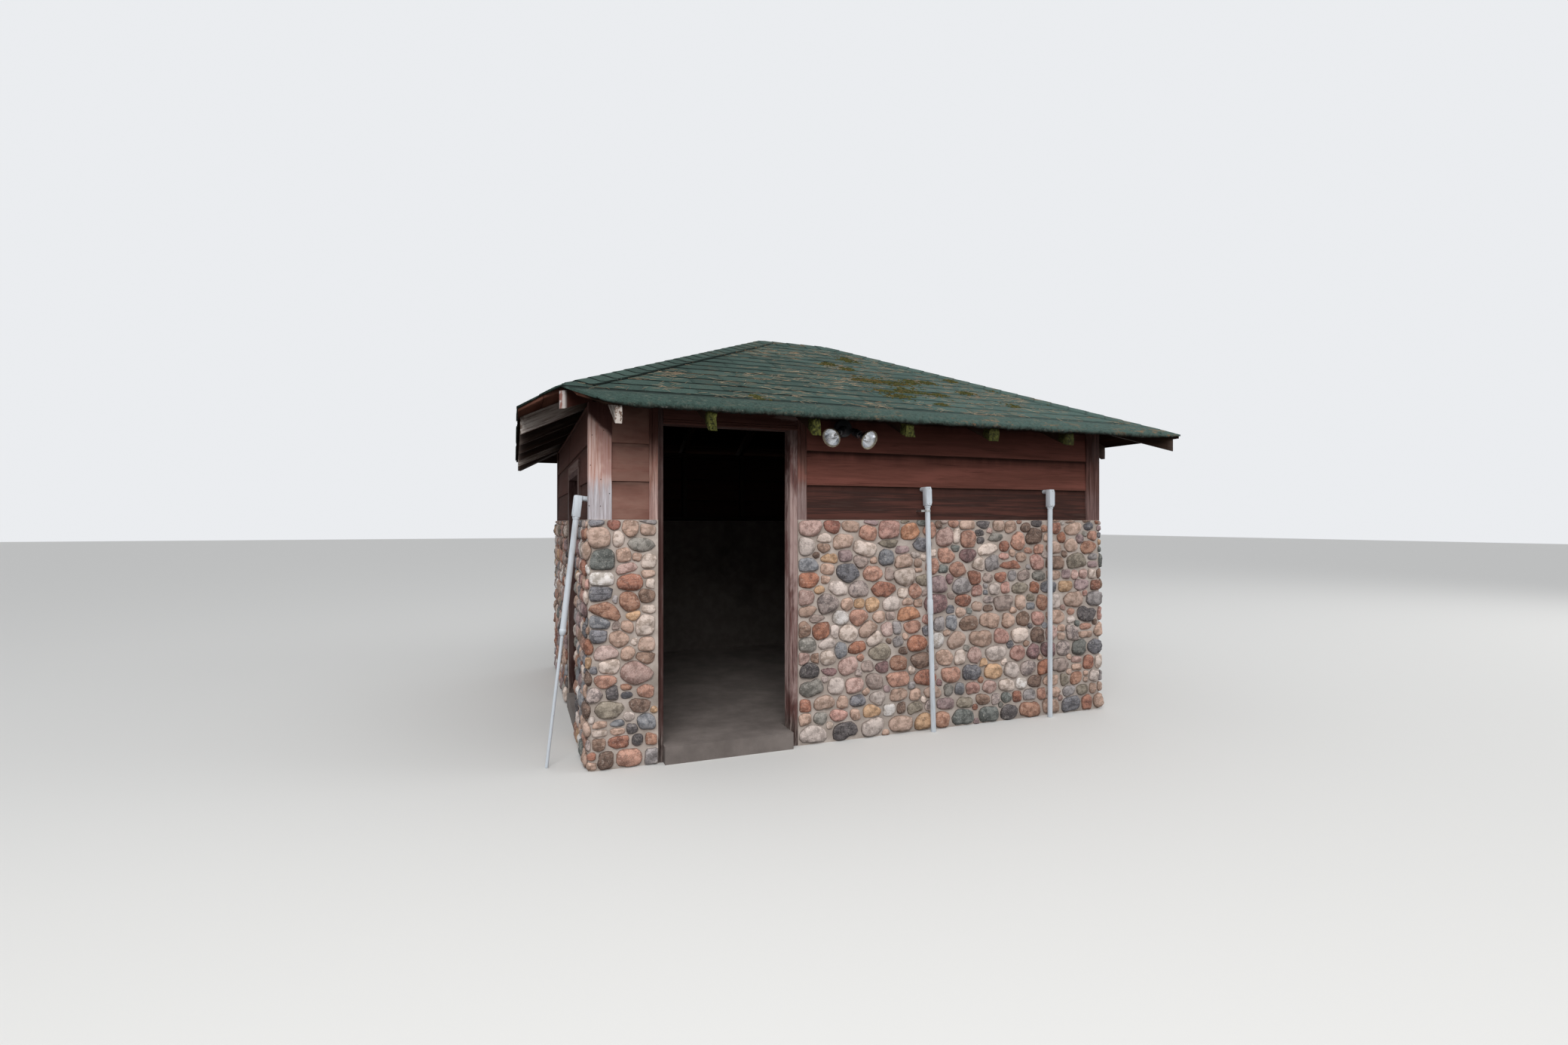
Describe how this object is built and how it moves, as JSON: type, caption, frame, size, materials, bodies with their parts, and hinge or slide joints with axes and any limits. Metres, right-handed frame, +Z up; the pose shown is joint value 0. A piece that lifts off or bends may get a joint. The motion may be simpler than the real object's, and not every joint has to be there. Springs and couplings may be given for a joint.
{
  "type": "small cobblestone boathouse",
  "caption": "Small hip-roofed boathouse with cobblestone walls, a lapped-board upper wall, an open front doorway and a low plank side door.",
  "frame": {"origin": "centre of the roof's plan on the ground", "axes": "+X to the right along the front wall, +Y towards the back, +Z up; the front doorway faces -Y"},
  "size_m": [4.404, 3.794, 2.8953],
  "materials": {
    "concrete": "worn concrete",
    "cobblestone": "rounded field stones in beige mortar",
    "frame_wood": "old rough lumber",
    "door_frame": "dark red-brown stain, worn",
    "weathered_trim": "red-brown stain weathered to grey",
    "stained_siding": "red-brown stain",
    "door_planks": "red-brown stain, worn",
    "rafter_wood": "dark weathered lumber",
    "shingle": "dark green mineral-coated asphalt shingles",
    "black_fitting": "black enamel",
    "lamp_glass": "silvered reflector behind clear glass",
    "grey_conduit": "light grey plastic",
    "hinge_iron": "rusty black iron"
  },
  "bodies": {
    "building": {"floor_slab": "concrete", "front_wall_left": "cobblestone", "front_wall_right": "cobblestone", "left_wall_front": "cobblestone", "left_wall_back": "cobblestone", "back_wall": "cobblestone", "right_wall": "cobblestone", "sill_plates": "frame_wood", "wall_studs": "frame_wood", "top_plates": "frame_wood", "front_door_jambs": "door_frame", "front_door_header": "door_frame", "front_door_casing": "weathered_trim", "siding_front_left": "stained_siding", "siding_front_right": "stained_siding", "siding_left_front": "stained_siding", "siding_left_back": "stained_siding", "siding_over_side_door": "stained_siding", "siding_back": "stained_siding", "siding_right": "stained_siding", "corner_boards": "weathered_trim", "side_door_frame": "door_frame", "side_door_stops": "door_frame", "side_door_casing": "weathered_trim", "side_door_pintles": "hinge_iron", "front_rafters": "rafter_wood", "back_rafters": "rafter_wood", "left_rafters": "rafter_wood", "right_rafters": "rafter_wood", "hip_rafters": "rafter_wood", "ridge_board": "rafter_wood", "roof_boards": "rafter_wood", "shingles_front": "shingle", "shingles_back": "shingle", "shingles_left": "shingle", "shingles_right": "shingle", "hip_caps": "shingle", "lamp_holder": "black_fitting", "flood_lamps": "lamp_glass", "conduit_pipes": "grey_conduit", "conduit_boxes": "grey_conduit", "conduit_covers": "grey_conduit", "conduit_strap": "grey_conduit"},
    "side_door": {"side_door_planks": "door_planks", "side_door_ledges": "door_planks", "side_door_straps": "hinge_iron"}
  },
  "joints": [
    {"name": "side_door_hinge", "type": "hinge", "parent": "building", "child": "side_door", "pos_m": [-1.6905, -0.041, 0.9], "axis": [0, 0, 1], "range_deg": [0, 95]}
  ]
}
